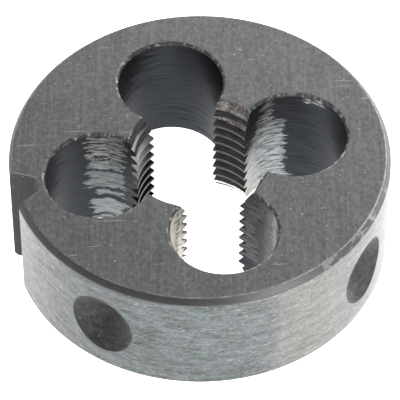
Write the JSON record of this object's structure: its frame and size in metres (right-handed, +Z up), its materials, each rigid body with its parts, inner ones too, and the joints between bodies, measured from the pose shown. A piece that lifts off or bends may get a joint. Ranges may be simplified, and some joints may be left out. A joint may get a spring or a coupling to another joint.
{
  "type": "round threading die",
  "caption": "Round solid threading die with open chip holes, threaded lands, a rim notch and conical screw seats, for cutting an outside thread on a rod.",
  "frame": {"origin": "centre of the back face, on the thread axis", "axes": "+Z up the thread axis towards the starting face, the adjusting notch towards -X, a chip hole on each of +X, +Y, -X and -Y"},
  "size_m": [0.0379, 0.038, 0.013],
  "materials": {
    "tool_steel": "ground grey tool steel"
  },
  "bodies": {
    "root": {"round_die": "tool_steel"}
  },
  "joints": []
}
